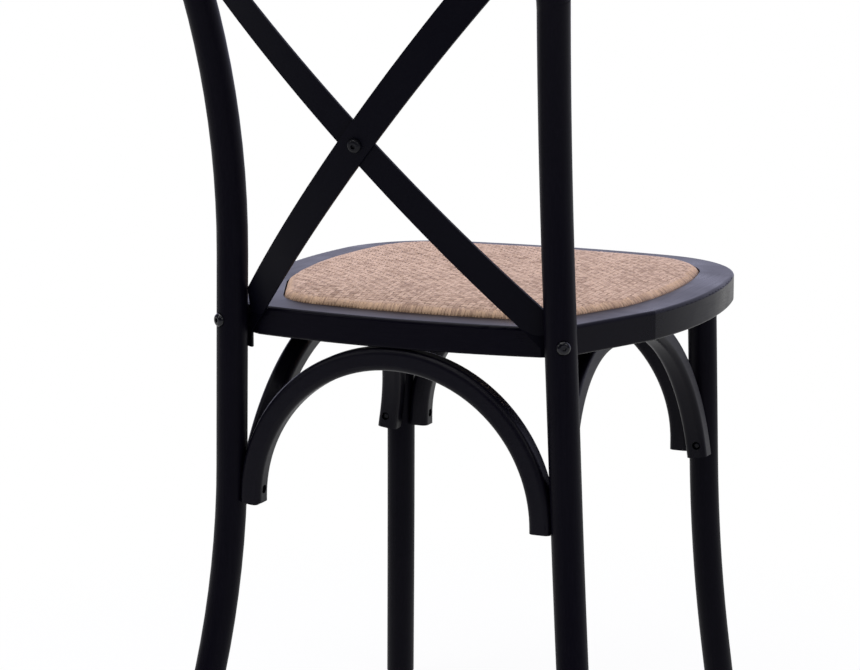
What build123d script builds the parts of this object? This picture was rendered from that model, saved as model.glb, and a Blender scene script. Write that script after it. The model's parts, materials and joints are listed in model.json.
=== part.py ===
"""Cross-back dining chair: bent wood hoop, round legs, woven drop-in seat, metal cross bars.

Millimetres, +Z up, chair facing -Y. The origin is on the floor, under the middle of the chair.
"""
from build123d import *
from math import cos, hypot, radians, sin, sqrt
import os

# Clearances
joint_gap = 0.2  # between pieces that are screwed or bolted together
bore_gap = 0.1  # round a dowel, tenon, bolt or screw in its hole
pad_gap = 0.5  # round the seat board and pad in the frame
tab_gap = 0.5  # between a bar's upright tab and the leaning post

# Seat frame, with setbacks measured from its front edge
seat_height = 470.0
seat_thickness = 26.5
seat_depth = 432.5
seat_width = 430.5
widest_share = 0.5653  # widest place and creases ahead of the rear edge, as shares of the depth
crease_share = 0.2936
crease_inset = 15.0  # creases in from the widest place, each side
crease_r = 8.0
front_corner_setback = 20.5
front_corner_inset = 31.0
front_corner_r = 108.0
corner_land = 5.0  # how far the rear corners would stand past their bolting flats
frame_top_r = 3.3
frame_bottom_r = 2.0
rim_width = 33.0
recess_depth = 13.0
recess_front_r = 70.0
recess_rear_r = 56.0
recess_crease_r = 56.0
least_corner_r = 20.0  # smallest corner drawn inside the recess
ledge_width = 47.0

# Rails and their dowels
front_joint_setback = 98.0
dowel_d = 8.0
dowel_length = 40.0
dowel_edge = 18.0  # outer edge of the frame to the first dowel
dowel_spacing = 26.0

# Seat pad
board_thickness = 6.0
pad_edge_rise = 7.5  # pad edge above the frame
pad_edge_r = 6.0
pad_crown = 6.5  # middle of the pad above its edge
cover_thickness = 2.5

# Hoop: corners of its centre line, and the bends between them
rod_d = 28.2
crest_height = 853.0
post_from_rear = 4.8  # post axis at the bolts, ahead of the rear edge of the seat
post_inset = 57.8  # post axis in from the widest place of the seat
post_splay = 0.032  # outward lean of the posts, going down
post_rake = 0.0275  # backward lean of the posts, going up
knee_height = 176.0
rear_foot_out = 43.5  # feet outside and behind the posts
rear_foot_back = 52.0
rear_knee_r = 752.0
waist_share = 0.442  # places and bends of the back, as shares of its rise above the seat
waist_bend_share = 1.966
shoulder_back_share = 0.177
shoulder_bend_share = 0.2826
crest_back_share = 0.307
shoulder_out = 16.5  # shoulders outside the posts
shoulder_drop = 22.5
crest_run = 114.5  # from a shoulder in to the straight of the crest
crest_r = 169.0

# Front legs
front_leg_setback = 51.0  # leg axis under the seat frame
front_leg_inset = 54.5
front_leg_splay = 0.018
front_leg_rake = 0.033
front_foot_out = 19.0  # feet outside and ahead of the tops of the legs
front_foot_ahead = 37.5
front_knee_r = 1363.0
tenon_d = 19.0
tenon_length = 17.0

# Arches between the legs
arch_size = 20.5
arch_edge_r = 5.5
arch_flat = 1.0  # straight crown of the front and rear arches
side_arch_flat = 47.0
side_arch_lean = 22.0  # crowns of the side arches in from their ends
side_front_out = 3.0  # front ends of the side arches outside the middle of their legs
side_rear_in = 7.0  # their rear ends inside the middle of theirs
side_crown_lift = 1.0  # extra height of those crowns, planed off level under the seat
rear_arch_foot = 3.0  # straight ends below the bends
front_arch_foot = 9.0
side_arch_foot = 7.0
arch_screw_height = 298.0  # level at which the arches are fitted to the legs
arch_cope = 2.0  # depth of the hollow that fits an arch end round its leg

# Cross bars
bar_width = 26.0
bar_thickness = 3.0
bar_back_share = 0.189  # crossing behind the posts, as a share of the back's rise
bar_gap = 0.6  # between the two bars where they cross
bar_let_in = 1.0  # depth of the flat in the hoop under a bar's upper end
bar_end_over = 8.5
bar_end_r = 11.0
post_bolt_angle = 30.0  # outward turn of the post bolts from straight back
post_bolt_drop = 12.0  # top of the seat frame to the bolts
tab_width = 17.0
tab_drop = 38.5
tab_top_rise = 12.0  # flat end of a bar above its bolt
bend_rise = 6.0  # start of the bowed stretch above the bolt
post_clearance = 0.6  # between a bowed stretch and the post that it passes

# Fasteners
bolt_d = 6.0
bolt_head_d = 12.5
bolt_head_h = 4.0
bolt_socket_d = 4.6
bolt_spot = 1.2  # depth of the spot face under a bolt head
bolt_reach = 34.0  # into the rear rail
barrel_d = 10.0
barrel_length = 19.0
barrel_reach = 27.0
cap_nut_d = 11.0
cap_nut_h = 7.0
bar_screw_d = 4.0
bar_screw_head_d = 9.0
bar_screw_head_h = 2.5
bar_screw_length = 22.0
end_screw_d = 4.0
end_screw_head_d = 7.0
end_screw_head_h = 2.4
end_screw_recess = 4.0
end_screw_length = 23.0
end_screw_rise = 12.0  # above the arch end
top_screw_d = 4.5
top_screw_head_d = 8.5
top_screw_head_h = 2.8
top_screw_recess = 4.0
top_screw_length = 26.0
top_screw_spacing = 20.0
board_screw_d = 3.5
board_screw_head_d = 7.0
board_screw_head_h = 2.2
board_screw_length = 17.0
board_screw_x = 70.0  # front and rear board screws from the middle
board_screw_setback = 158.0  # side board screws
head_gap = 0.5  # round a screw head in its recess

# Glides
glide_d = 20.0
glide_h = 6.0
glide_edge_r = 1.5
glide_pin_d = 4.0
glide_pin_length = 14.0

# Worked out from the sizes above
rod_r = rod_d / 2
back_rise = crest_height - seat_height
post_setback = seat_depth - post_from_rear
post_spacing = seat_width - 2 * post_inset
shoulder_spacing = post_spacing + 2 * shoulder_out
front_leg_spacing = seat_width - 2 * front_leg_inset
crest_setback = post_setback + crest_back_share * back_rise
front_y = -(crest_setback + rod_r) / 2
frame_bottom = seat_height - seat_thickness
recess_floor = seat_height - recess_depth
post_bolt_z = seat_height - post_bolt_drop
to_head = (Align.CENTER, Align.CENTER, Align.MAX)
from_head = (Align.CENTER, Align.CENTER, Align.MIN)
down = Vector(0, 0, -1)


def back(setback):
    """Y of a place that far behind the front edge of the seat."""
    return front_y + setback


def post_at(z):
    """Centre of the right rear post at height z, on its straight run."""
    rise = z - post_bolt_z
    return Vector(post_spacing / 2 - post_splay * rise, back(post_setback) + post_rake * rise, z)


def front_leg_at(z):
    """Centre of the right front leg at height z, on its straight run."""
    fall = frame_bottom - z
    x = front_leg_spacing / 2 + front_leg_splay * fall
    return Vector(x, back(front_leg_setback) - front_leg_rake * fall, z)


def flip(v):
    """The same place or direction on the other side of the chair."""
    return Vector(-v.X, v.Y, v.Z)


def both_sides(origin, direction):
    """A plane square to a direction, and its twin on the other side of the chair."""
    return [Plane(origin, z_dir=direction), Plane(flip(origin), z_dir=flip(direction))]


def past_floor(foot, knee):
    """A foot point moved on past the floor, so that the foot can be cut level."""
    return foot + (foot - knee).normalized() * rod_d


def rod(points, bends, radius):
    """Round rod along straight runs joined by bends."""
    with BuildPart() as piece:
        with BuildLine() as axis:
            FilletPolyline(*points, radius=bends)
        with BuildSketch(Plane(axis.line @ 0, z_dir=axis.line % 0)):
            Circle(radius)
        sweep()
    return piece.part


def drill(planes, diameter, depth):
    """Cuts a round hole down from each plane into the piece being built."""
    with Locations(*planes):
        Cylinder(diameter / 2, depth, align=to_head, mode=Mode.SUBTRACT)


def open_up(planes, diameter, height):
    """Cuts a round space up from each plane, for a head that lies on it."""
    with Locations(*planes):
        Cylinder(diameter / 2, height, align=from_head, mode=Mode.SUBTRACT)


def fasteners(planes, shank_d, shank_length, head_d, head_h, socket_d=0.0):
    """Dome-headed screws or bolts: each plane lies under a head, its Z pointing out of the head."""
    with BuildPart() as one:
        Cylinder(head_d / 2, head_h, align=from_head)
        fillet(one.edges().group_by(Axis.Z)[-1], 0.8 * min(head_h, head_d / 2))
        Cylinder(shank_d / 2, shank_length, align=to_head)
        if socket_d:
            with BuildSketch(Plane.XY.offset(head_h)):
                RegularPolygon(socket_d / 2, 6)
            extrude(amount=-head_h / 2, mode=Mode.SUBTRACT)
    with BuildPart() as group:
        with Locations(*planes):
            add(one.part)
    return group.part


def save(part, name):
    """Labels a finished piece and writes its file."""
    part.label = name
    export_step(part, f"parts/{name}.step")


os.makedirs("parts", exist_ok=True)

# Post bolts: the right one's direction, and where the bar's tab and the seat corner meet it
bolt_dir = Vector(sin(radians(post_bolt_angle)), cos(radians(post_bolt_angle)), 0)
along_tab = Vector(bolt_dir.Y, -bolt_dir.X, 0)
post_bolt_axis = post_at(post_bolt_z)
tab_centre = post_bolt_axis - bolt_dir * (rod_r + tab_gap + bar_thickness / 2)
flat_centre = tab_centre - bolt_dir * (bar_thickness / 2 + joint_gap)
rear_corner = flat_centre + bolt_dir * corner_land
post_bolt_planes = both_sides(post_bolt_axis + bolt_dir * (rod_r - bolt_spot), bolt_dir)
post_bolt_length = 2 * rod_r - bolt_spot + tab_gap + bar_thickness + joint_gap + bolt_reach
barrel_centre = flat_centre - bolt_dir * barrel_reach

# Centre lines of the hoop and of the front legs, right side
knee = post_at(knee_height)
waist = post_at(seat_height + waist_share * back_rise)
waist_r = waist_bend_share * back_rise
rear_foot = Vector(post_spacing / 2 + rear_foot_out, back(post_setback + rear_foot_back), 0)
shoulder_y = back(post_setback + shoulder_back_share * back_rise)
shoulder = Vector(shoulder_spacing / 2, shoulder_y, crest_height - shoulder_drop)
shoulder_r = shoulder_bend_share * back_rise
crest = Vector(shoulder_spacing / 2 - crest_run, back(crest_setback), crest_height)
hoop_half = [past_floor(rear_foot, knee), knee, waist, shoulder, crest]
hoop_points = hoop_half + [flip(p) for p in reversed(hoop_half)]
hoop_bends = [rear_knee_r, waist_r, shoulder_r, crest_r, crest_r, shoulder_r, waist_r, rear_knee_r]
front_foot = Vector(front_leg_spacing / 2 + front_foot_out, back(front_leg_setback - front_foot_ahead), 0)
front_knee = front_leg_at(knee_height)
front_points = [past_floor(front_foot, front_knee), front_knee, front_leg_at(seat_height)]
with BuildLine() as hoop_axis:
    FilletPolyline(*hoop_points, radius=hoop_bends)
shoulder_bends = [e for e in hoop_axis.edges().filter_by(GeomType.CIRCLE) if abs(e.radius - shoulder_r) < 1e-6]
shoulder_point = max((e @ 0.5 for e in shoulder_bends), key=lambda p: p.X)

# Arch centre lines: half spans, bends, crown and ends
arch_offset = rod_r - arch_cope + arch_size / 2
rear_leg = post_at(arch_screw_height)
front_leg = front_leg_at(arch_screw_height)
side_front_x = front_leg.X + side_front_out
side_rear_x = rear_leg.X - side_rear_in
rear_half = rear_leg.X - arch_offset
front_half = front_leg.X - arch_offset
side_half = (rear_leg.Y - front_leg.Y) / 2 - arch_offset
rear_arch_r = rear_half - arch_flat / 2
front_arch_r = front_half - arch_flat / 2
side_arch_r = side_half - side_arch_flat / 2
arch_top_z = frame_bottom - joint_gap - arch_size / 2
rear_end_z = arch_top_z - rear_arch_r - rear_arch_foot
front_end_z = arch_top_z - front_arch_r - front_arch_foot
side_end_z = arch_top_z - side_arch_r - side_arch_foot


# Bowed side of the seat, from the crease to the front corner
side_points = [
    Vector(seat_width / 2 - crease_inset, back(seat_depth * (1 - crease_share))),
    Vector(seat_width / 2, back(seat_depth * (1 - widest_share))),
    Vector(seat_width / 2 - front_corner_inset, back(front_corner_setback)),
]


def seat_outline(inset, rear_r, side_r, front_r):
    """Seat outline drawn in from the outer edge by inset, with rounded corners."""
    corner = Vector(rear_corner.X, rear_corner.Y)
    crease, widest, front = side_points
    with BuildSketch() as outline:
        with BuildLine():
            ThreePointArc(flip(corner), (0, back(seat_depth)), corner)
            Line(corner, crease)
            ThreePointArc(crease, widest, front)
            ThreePointArc(front, (0, front_y), flip(front))
            ThreePointArc(flip(front), flip(widest), flip(crease))
            Line(flip(crease), flip(corner))
        make_face()
        if inset:
            offset(amount=-inset, kind=Kind.INTERSECTION, mode=Mode.REPLACE)
        if rear_r:
            fillet(outline.vertices().sort_by(Axis.Y)[4:6], rear_r)
        fillet(outline.vertices().sort_by(Axis.Y)[2:4], side_r)
        fillet(outline.vertices().sort_by(Axis.Y)[0:2], front_r)
    return outline.sketch


def recess_outline(inset):
    """Outline of the recess in the frame, drawn in by inset."""
    radii = [max(r - inset, least_corner_r) for r in (recess_rear_r, recess_crease_r, recess_front_r)]
    return seat_outline(rim_width + inset, *radii)


# Screws that hold the seat board, in the middle of the ledge
ledge_line = recess_outline(ledge_width / 2).wires()[0]
ledge_targets = [
    Vector(board_screw_x, back(seat_depth)),
    Vector(seat_width / 2, back(board_screw_setback)),
    Vector(board_screw_x, front_y),
]
board_screw_planes = []
for target in ledge_targets:
    spot = ledge_line.closest_points(target)[0]
    board_screw_planes += both_sides(Vector(spot.X, spot.Y, frame_bottom), down)

# Screws at the crowns of the arches, in the order rear, front, right, left
crown_z = frame_bottom - joint_gap - arch_size + top_screw_recess
half_pair = top_screw_spacing / 2
side_mid_y = (rear_leg.Y + front_leg.Y) / 2
rear_crowns = [Vector(x, rear_leg.Y, crown_z) for x in (-half_pair, half_pair)]
front_crowns = [Vector(x, front_leg.Y, crown_z) for x in (-half_pair, half_pair)]
side_crown_x = (side_front_x + side_rear_x) / 2 - side_arch_lean
right_crowns = [Vector(side_crown_x, side_mid_y + y, crown_z) for y in (-half_pair, half_pair)]
rear_top_planes = [Plane(p, z_dir=down) for p in rear_crowns]
front_top_planes = [Plane(p, z_dir=down) for p in front_crowns]
right_top_planes = [Plane(p, z_dir=down) for p in right_crowns]
left_top_planes = [Plane(flip(p), z_dir=down) for p in right_crowns]
top_planes = rear_top_planes + front_top_planes + right_top_planes + left_top_planes

# Screws at the arch ends: each plane lies under a head, in the arch's inner face
end_seat = arch_offset + arch_size / 2 - end_screw_recess
toward_middle = Vector(-1, 0, 0)
toward_front = Vector(0, -1, 0)
rear_screw_z = rear_end_z + end_screw_rise
front_screw_z = front_end_z + end_screw_rise
side_screw_z = side_end_z + end_screw_rise
rear_end_planes = both_sides(Vector(rear_leg.X - end_seat, rear_leg.Y, rear_screw_z), toward_middle)
front_end_planes = both_sides(Vector(front_leg.X - end_seat, front_leg.Y, front_screw_z), toward_middle)
side_rear_end = Vector(side_rear_x, rear_leg.Y, side_screw_z) + toward_front * end_seat
side_front_end = Vector(side_front_x, front_leg.Y, side_screw_z) - toward_front * end_seat
right_end_planes = [Plane(side_rear_end, z_dir=toward_front), Plane(side_front_end, z_dir=-toward_front)]
left_end_planes = [
    Plane(flip(side_rear_end), z_dir=toward_front),
    Plane(flip(side_front_end), z_dir=-toward_front),
]
end_planes = rear_end_planes + front_end_planes + right_end_planes + left_end_planes

# Dowels across the rail joints
rear_joint_y = side_points[0].Y
front_joint_y = back(front_joint_setback)
dowel_z = (frame_bottom + recess_floor) / 2
side_bow = Edge.make_three_point_arc(*side_points)
front_joint_x = side_bow.arc_center.X + sqrt(side_bow.radius ** 2 - (front_joint_y - side_bow.arc_center.Y) ** 2)
dowel_spots = []
for joint_y, edge_x in ((rear_joint_y, side_points[0].X), (front_joint_y, front_joint_x)):
    for step in (0, 1):
        x = edge_x - dowel_edge - step * dowel_spacing
        dowel_spots += [Vector(x, joint_y, dowel_z), Vector(-x, joint_y, dowel_z)]
dowel_planes = [Plane(p, z_dir=toward_front) for p in dowel_spots]

# Seat frame, still in one ring
with BuildPart() as ring:
    with BuildSketch(Plane.XY.offset(frame_bottom)):
        add(seat_outline(0, 0, crease_r, front_corner_r))
    extrude(amount=seat_thickness)
    with Locations(*both_sides(flat_centre, bolt_dir)):
        Box(seat_depth / 4, seat_depth / 4, seat_depth / 4, align=from_head, mode=Mode.SUBTRACT)
    fillet(ring.faces().sort_by(Axis.Z)[-1].edges(), frame_top_r)
    fillet(ring.faces().sort_by(Axis.Z)[0].edges(), frame_bottom_r)
    with BuildSketch(Plane.XY.offset(recess_floor)):
        add(recess_outline(0))
    extrude(amount=recess_depth, mode=Mode.SUBTRACT)
    with BuildSketch(Plane.XY.offset(frame_bottom)):
        add(recess_outline(ledge_width))
    extrude(amount=seat_thickness, mode=Mode.SUBTRACT)
    drill([p.offset(-rod_d) for p in post_bolt_planes], bolt_d + 2 * bore_gap, post_bolt_length - rod_d + bore_gap)
    with Locations(*[(x, barrel_centre.Y, frame_bottom) for x in (-barrel_centre.X, barrel_centre.X)]):
        Cylinder(barrel_d / 2 + bore_gap, barrel_length + bore_gap, align=from_head, mode=Mode.SUBTRACT)
    drill(board_screw_planes, board_screw_d + 2 * bore_gap, recess_depth * 2)
    drill(top_planes, top_screw_d + 2 * bore_gap, top_screw_length + bore_gap)
    leg_top = front_leg_at(frame_bottom)
    drill(both_sides(leg_top, down), tenon_d + 2 * bore_gap, tenon_length + bore_gap)
    with Locations(*dowel_planes):
        Cylinder(dowel_d / 2 + bore_gap, dowel_length + 2 * bore_gap, mode=Mode.SUBTRACT)

rear_joint = Plane((0, rear_joint_y, 0), z_dir=(0, 1, 0))
front_joint = Plane((0, front_joint_y, 0), z_dir=(0, 1, 0))
with BuildPart() as rear_rail:
    add(ring.part)
    split(bisect_by=rear_joint, keep=Keep.TOP)
save(rear_rail.part, "seat_rear_rail")
with BuildPart() as front_rail:
    add(ring.part)
    split(bisect_by=front_joint, keep=Keep.BOTTOM)
save(front_rail.part, "seat_front_rail")
for side, kept in (("right", Keep.TOP), ("left", Keep.BOTTOM)):
    with BuildPart() as side_rail:
        add(ring.part)
        split(bisect_by=rear_joint, keep=Keep.BOTTOM)
        split(bisect_by=front_joint, keep=Keep.TOP)
        split(bisect_by=Plane.YZ, keep=kept)
    save(side_rail.part, f"seat_side_rail_{side}")

with BuildPart() as dowels:
    with Locations(*dowel_planes):
        Cylinder(dowel_d / 2, dowel_length)
save(dowels.part, "rail_dowels")

# Seat board, foam and woven cover
board_top = recess_floor + board_thickness
with BuildPart() as board:
    with BuildSketch(Plane.XY.offset(recess_floor)):
        add(recess_outline(pad_gap))
    extrude(amount=board_thickness)
    drill(board_screw_planes, board_screw_d + 2 * bore_gap, board_screw_length + bore_gap)
save(board.part, "seat_board")


def pad_form(skin):
    """Crowned pad on the seat board, a skin's thickness inside the outer form."""
    edge_top = seat_height + pad_edge_rise
    sections = [
        (board_top, 0),
        (edge_top - pad_edge_r, 0),
        (edge_top - pad_edge_r * 0.4, pad_edge_r * 0.2),
        (edge_top - pad_edge_r * 0.1, pad_edge_r * 0.6),
        (edge_top + pad_crown * 0.15, pad_edge_r * 1.7),
        (edge_top + pad_crown * 0.6, pad_edge_r * 7),
        (edge_top + pad_crown, pad_edge_r * 17),
    ]
    with BuildPart() as form:
        for z, inset in sections:
            lowered = skin if z > board_top else 0
            with BuildSketch(Plane.XY.offset(z - lowered)):
                add(recess_outline(pad_gap + skin + inset))
        loft(ruled=True)
    return form.part


save(pad_form(cover_thickness + joint_gap), "seat_foam")
with BuildPart() as cover:
    add(pad_form(0))
    add(pad_form(cover_thickness), mode=Mode.SUBTRACT)
save(cover.part, "woven_cover")

save(
    fasteners(board_screw_planes, board_screw_d, board_screw_length, board_screw_head_d, board_screw_head_h),
    "board_screws",
)

# Cross bars: each lies on a leaning cylinder through its tab, its crossing and its upper end
bar_seat = shoulder_point + bolt_dir * (rod_r + bar_thickness / 2 - bar_let_in)
bar_dir = Vector(-(tab_centre.X + bar_seat.X), bar_seat.Z - tab_centre.Z).normalized()
bar_side = Vector(bar_dir.Y, -bar_dir.X)
crossing_y = back(post_setback + bar_back_share * back_rise)
crossing_z = tab_centre.Z + (bar_seat.Z - tab_centre.Z) * tab_centre.X / (tab_centre.X + bar_seat.X)


def bow_surface(y):
    """Backward lean and radius of the cylinder under a bar that crosses at depth y."""
    below = crossing_z - tab_centre.Z
    above = bar_seat.Z - crossing_z
    low_x2 = tab_centre.X ** 2
    high_x2 = bar_seat.X ** 2
    lean = ((y - tab_centre.Y) * high_x2 - (y - bar_seat.Y) * low_x2) / (below * high_x2 + above * low_x2)
    fall = (y + lean * above - bar_seat.Y) / hypot(1, lean)
    return lean, (high_x2 + fall ** 2) / (2 * fall)


# Axes of the bolt through the crossing and of the screws at the upper ends
mid_lean, mid_r = bow_surface(crossing_y)
stack = (bar_thickness + bar_gap) / 2  # each bar's middle from the middle of the crossing
crossing = Vector(0, crossing_y, crossing_z)
cross_axis = Vector(0, 1, -mid_lean).normalized()
face_reach = stack + bar_thickness / 2 + joint_gap
turn = bar_seat.X / mid_r
bar_screw_dir = Vector(turn, 0, 0) + cross_axis * sqrt(1 - turn ** 2)
bar_screw_planes = both_sides(bar_seat + bar_screw_dir * (bar_thickness / 2 + joint_gap), bar_screw_dir)


def edge_point(side, margin=0.0):
    """Where an edge of the bar passes its tab, seen from the front: side 1 is the upper edge."""
    return Vector(tab_centre.X, tab_centre.Z) + bar_side * (side * (bar_width / 2 + margin))


def edge_z(side, x):
    """Height of an edge of the bar at x."""
    start = edge_point(side)
    return start.Y + (x - start.X) * bar_dir.Y / bar_dir.X


def edge_x(side, z):
    """X of an edge of the bar at height z."""
    start = edge_point(side)
    return start.X + (z - start.Y) * bar_dir.X / bar_dir.Y


def upper_end(margin=0.0):
    """The two corners of the bar's upper end, widened by margin."""
    end = Vector(-bar_seat.X, bar_seat.Z) + bar_dir * (bar_end_over + margin)
    half = bar_side * (bar_width / 2 + margin)
    return end + half, end - half


def bow_shell(y, ahead, behind):
    """Leaning shell round the bowed surface, reaching ahead of it and behind it."""
    lean, radius = bow_surface(y)
    centre = Vector(0, y, crossing_z) - Vector(0, 1, -lean).normalized() * radius
    with BuildPart() as shell:
        with BuildSketch(Plane(centre, x_dir=(1, 0, 0), z_dir=(0, lean, 1))):
            Circle(radius + behind)
            Circle(radius - ahead, mode=Mode.SUBTRACT)
        extrude(amount=crest_height + rod_d - crossing_z, both=True)
    return shell.part


front_view = Plane((0, back(crest_setback) + rod_d, 0), x_dir=(1, 0, 0), z_dir=(0, -1, 0))
view_reach = seat_depth / 2
trim_x = post_at(post_bolt_z + bar_width).X - rod_r - post_clearance
tab_in_x = tab_centre.X - along_tab.X * tab_width / 2
tab_out_x = tab_centre.X + along_tab.X * tab_width / 2
tab_low_z = seat_height - tab_drop
tab_top_z = post_bolt_z + tab_top_rise
bow_z = post_bolt_z + bend_rise
tab_plane = Plane(tab_centre, z_dir=bolt_dir)


def cross_bar(y):
    """Bar from its tab on the right rear post to its upper end on the left of the hoop."""
    high, low = upper_end()
    bow_corners = [high, low, (edge_x(-1, bow_z), bow_z), (trim_x, bow_z), (trim_x, edge_z(1, trim_x))]
    tab_corners = [
        (tab_in_x, tab_low_z),
        (tab_out_x, tab_low_z),
        (tab_out_x, tab_top_z),
        (edge_x(-1, tab_top_z), tab_top_z),
        (tab_in_x, edge_z(-1, tab_in_x)),
    ]
    with BuildPart() as bow:
        add(bow_shell(y, bar_thickness / 2, bar_thickness / 2))
        with BuildSketch(front_view) as band:
            with BuildLine():
                Polyline(*bow_corners, close=True)
            make_face()
            fillet(band.vertices().sort_by(Axis.Y)[-2:], bar_end_r)
        extrude(amount=view_reach, mode=Mode.INTERSECT)
    with BuildPart() as bar:
        with Locations(tab_plane):
            Box(view_reach, view_reach, bar_thickness)
        with BuildSketch(front_view):
            with BuildLine():
                Polyline(*tab_corners, close=True)
            make_face()
        extrude(amount=view_reach, mode=Mode.INTERSECT)
        add(bow.part)
        drill([tab_plane.offset(rod_d)], bolt_d + 2 * bore_gap, 2 * rod_d)
        drill([Plane(crossing, z_dir=cross_axis).offset(rod_d)], bolt_d + 2 * bore_gap, 2 * rod_d)
        drill([bar_screw_planes[1].offset(rod_d)], bar_screw_d + 2 * bore_gap, 2 * rod_d)
    return bar.part


def bar_space(y):
    """Room for a bar's upper end, cut a little way into the hoop."""
    high, low = upper_end(joint_gap)
    half = bar_side * (bar_width / 2 + joint_gap)
    middle = Vector(0, crossing_z)
    with BuildPart() as space:
        add(bow_shell(y, bar_thickness / 2 + joint_gap, rod_d))
        with BuildSketch(front_view.offset(-rod_d)):
            with BuildLine():
                Polyline(high, low, middle - half, middle + half, close=True)
            make_face()
        extrude(amount=view_reach, mode=Mode.INTERSECT)
    return space.part


save(cross_bar(crossing_y + stack), "cross_bar_rear")
save(mirror(cross_bar(crossing_y - stack), about=Plane.YZ), "cross_bar_front")

# Hoop
rear_pin = rear_foot + (knee - rear_foot) * (glide_h / knee.Z)
front_pin = front_foot + (front_knee - front_foot) * (glide_h / front_knee.Z)
rear_pin_planes = both_sides(rear_pin, down)
front_pin_planes = both_sides(front_pin, down)
with BuildPart() as hoop:
    add(rod(hoop_points, hoop_bends, rod_r))
    split(bisect_by=Plane.XY.offset(glide_h), keep=Keep.TOP)
    add(bar_space(crossing_y + stack), mode=Mode.SUBTRACT)
    add(mirror(bar_space(crossing_y - stack), about=Plane.YZ), mode=Mode.SUBTRACT)
    open_up(post_bolt_planes, bolt_head_d + 2 * head_gap, rod_d)
    drill(post_bolt_planes, bolt_d + 2 * bore_gap, 2 * rod_d)
    drill(bar_screw_planes, bar_screw_d + 2 * bore_gap, bar_screw_length + bore_gap)
    drill(rear_end_planes + [right_end_planes[0], left_end_planes[0]], end_screw_d + 2 * bore_gap,
          end_screw_length + bore_gap)
    drill(rear_pin_planes, glide_pin_d + 2 * bore_gap, glide_pin_length + bore_gap)
save(hoop.part, "back_hoop")

# Front legs
with BuildPart() as leg:
    add(rod(front_points, [front_knee_r], rod_r))
    split(bisect_by=Plane.XY.offset(glide_h), keep=Keep.TOP)
    split(bisect_by=Plane.XY.offset(frame_bottom), keep=Keep.BOTTOM)
    with Locations(leg_top):
        Cylinder(tenon_d / 2, tenon_length, align=from_head)
    drill([front_end_planes[0], right_end_planes[1]], end_screw_d + 2 * bore_gap, end_screw_length + bore_gap)
    drill(front_pin_planes[:1], glide_pin_d + 2 * bore_gap, glide_pin_length + bore_gap)
save(leg.part, "front_leg_right")
save(mirror(leg.part, about=Plane.YZ), "front_leg_left")

# Arches
hoop_space = rod(hoop_points, hoop_bends, rod_r + joint_gap)
leg_space = rod(front_points, [front_knee_r], rod_r + joint_gap)


def arch(start, end, bend, legs, end_screws, top_screws, lean=Vector(0, 0, 0)):
    """Bent square rod from one leg up to the seat frame and down to the next leg."""
    rise = Vector(0, 0, arch_top_z - start.Z) + lean
    with BuildPart() as piece:
        with BuildLine() as axis:
            FilletPolyline(start, start + rise, end + rise, end, radius=bend)
        with BuildSketch(Plane(axis.line @ 0, x_dir=end - start, z_dir=axis.line % 0)):
            RectangleRounded(arch_size, arch_size, arch_edge_r)
        sweep()
        if lean.length:
            split(bisect_by=Plane.XY.offset(frame_bottom - joint_gap), keep=Keep.BOTTOM)
        for space in legs:
            add(space, mode=Mode.SUBTRACT)
        drill(end_screws, end_screw_d + 2 * bore_gap, arch_size)
        open_up(end_screws, end_screw_head_d + 2 * head_gap, arch_size)
        drill(top_screws, top_screw_d + 2 * bore_gap, arch_size)
        open_up(top_screws, top_screw_head_d + 2 * head_gap, arch_size)
    return piece.part


rear_end = Vector(rear_half, rear_leg.Y, rear_end_z)
front_end = Vector(front_half, front_leg.Y, front_end_z)
side_rear_foot = Vector(side_rear_x, rear_leg.Y - arch_offset, side_end_z)
side_front_foot = Vector(side_front_x, front_leg.Y + arch_offset, side_end_z)
rear_arch = arch(flip(rear_end), rear_end, rear_arch_r, [hoop_space], rear_end_planes, rear_top_planes)
front_legs = [leg_space, mirror(leg_space, about=Plane.YZ)]
front_arch = arch(flip(front_end), front_end, front_arch_r, front_legs, front_end_planes, front_top_planes)
lean_in = Vector(-side_arch_lean, 0, side_crown_lift)
side_legs = [hoop_space, leg_space]
right_arch = arch(
    side_front_foot, side_rear_foot, side_arch_r, side_legs, right_end_planes, right_top_planes, lean_in
)
save(rear_arch, "arch_rear")
save(front_arch, "arch_front")
save(right_arch, "arch_right")
save(mirror(right_arch, about=Plane.YZ), "arch_left")

# Fasteners
save(fasteners(end_planes, end_screw_d, end_screw_length, end_screw_head_d, end_screw_head_h), "arch_end_screws")
save(fasteners(top_planes, top_screw_d, top_screw_length, top_screw_head_d, top_screw_head_h), "arch_top_screws")
save(
    fasteners(bar_screw_planes, bar_screw_d, bar_screw_length, bar_screw_head_d, bar_screw_head_h),
    "bar_top_screws",
)
save(
    fasteners(post_bolt_planes, bolt_d, post_bolt_length, bolt_head_d, bolt_head_h, bolt_socket_d),
    "post_bolts",
)
cross_head = [Plane(crossing + cross_axis * face_reach, z_dir=cross_axis)]
cross_length = 2 * face_reach + 0.6 * cap_nut_h
save(fasteners(cross_head, bolt_d, cross_length, bolt_head_d, bolt_head_h, bolt_socket_d), "cross_bolt")
with BuildPart() as cap_nut:
    with BuildSketch(Plane(crossing - cross_axis * face_reach, z_dir=-cross_axis)) as hexagon:
        RegularPolygon(cap_nut_d / 2, 6)
    extrude(amount=cap_nut_h / 2)
    with BuildSketch(Plane(crossing - cross_axis * face_reach, z_dir=-cross_axis)):
        Circle(cap_nut_d * 0.42)
    extrude(amount=cap_nut_h)
    fillet(cap_nut.faces().sort_by(Axis(crossing, -cross_axis))[-1].edges(), cap_nut_h * 0.45)
    drill(cross_head, bolt_d + 2 * bore_gap, cross_length + bore_gap)
save(cap_nut.part, "cross_cap_nut")
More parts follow.
